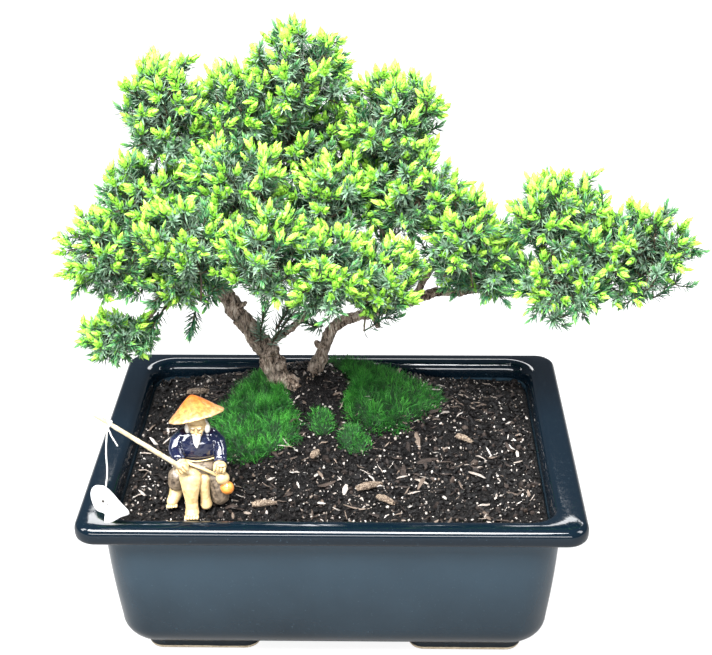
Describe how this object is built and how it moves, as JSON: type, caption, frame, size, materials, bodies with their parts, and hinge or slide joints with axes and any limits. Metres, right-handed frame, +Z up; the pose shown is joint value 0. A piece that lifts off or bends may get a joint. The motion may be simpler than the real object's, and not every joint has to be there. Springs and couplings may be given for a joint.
{
  "type": "bonsai tree in a pot",
  "caption": "Juniper bonsai in a dark glazed rectangular pot, with moss on mounded soil and a clay fisherman holding a rod, line and fish.",
  "frame": {"origin": "on the ground under the middle of the whole object's box, measured without the fishing line and the fish", "axes": "+Z up, +X along the pot's length towards the long right-hand limb, +Y from the figure's side to the back"},
  "size_m": [0.258, 0.1526, 0.2462],
  "materials": {
    "glaze": "gloss",
    "screen": "matte",
    "soil": "loose potting soil",
    "moss": "living moss",
    "chips": "bark",
    "bark": "flaky bark",
    "needles": "juniper needles",
    "clay": "painted and part glazed",
    "bamboo": "split bamboo",
    "thread": "twisted thread",
    "white_clay": "satin"
  },
  "bodies": {
    "root": {"pot": "glaze", "drainage_screen_left": "screen", "drainage_screen_right": "screen", "soil": "soil", "moss_clump_left": "moss", "moss_clump_right": "moss", "moss_tuft_left": "moss", "moss_tuft_right": "moss", "wood_chip_a": "chips", "wood_chip_b": "chips", "wood_chip_c": "chips", "wood_chip_d": "chips", "wood_chip_e": "chips", "wood_chip_f": "chips", "trunk_and_limbs": "bark", "crown_spray": "needles", "crown_left_spray": "needles", "upper_left_spray": "needles", "upper_right_spray": "needles", "inner_crown_spray": "needles", "right_shoulder_spray": "needles", "heart_spray": "needles", "middle_left_spray": "needles", "left_shoulder_spray": "needles", "lower_left_spray": "needles", "left_front_spray": "needles", "left_under_spray": "needles", "centre_front_spray": "needles", "low_centre_spray": "needles", "low_right_spray": "needles", "left_drooping_spray": "needles", "right_middle_spray": "needles", "right_low_spray": "needles", "right_upper_spray": "needles", "right_front_spray": "needles", "right_core_spray": "needles", "right_end_spray": "needles", "back_left_spray": "needles", "back_right_spray": "needles", "fisherman_figure": "clay", "fishing_rod": "bamboo", "fishing_line": "thread", "fish": "white_clay"}
  },
  "joints": []
}
